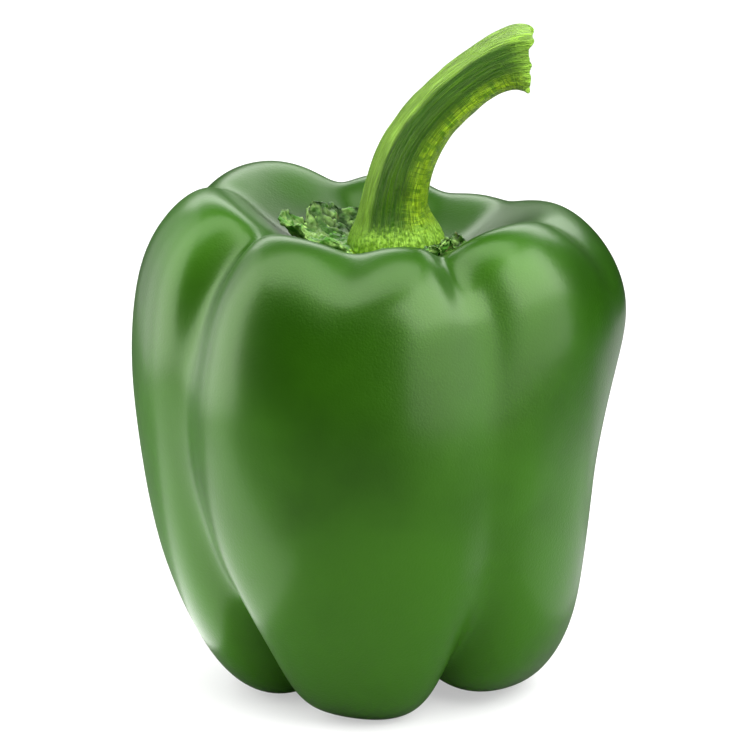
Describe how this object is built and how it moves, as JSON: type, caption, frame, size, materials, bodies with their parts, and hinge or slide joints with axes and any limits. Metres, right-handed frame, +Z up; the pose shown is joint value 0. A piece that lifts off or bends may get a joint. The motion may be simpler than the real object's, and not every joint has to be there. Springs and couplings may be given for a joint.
{
  "type": "bell pepper",
  "caption": "Blocky green bell pepper with swelling lobes, a sunken top, a crinkled calyx and a bent ribbed stem, standing on the feet of its lobes.",
  "frame": {"origin": "middle of the object's footprint, on the surface that it stands on", "axes": "+Z up along the stem's side, the long way of the pepper; +X to the right, the way the stem bends; -Y towards the viewer"},
  "size_m": [0.088, 0.0836, 0.1223],
  "materials": {
    "skin": "smooth waxy green skin, glossy, with a very fine grain",
    "calyx": "matt crinkled green leaf tissue",
    "stem": "satin yellow-green stalk, ribbed and stippled, paler at its foot"
  },
  "bodies": {
    "root": {"fruit": "skin", "calyx": "calyx", "stem": "stem"}
  },
  "joints": []
}
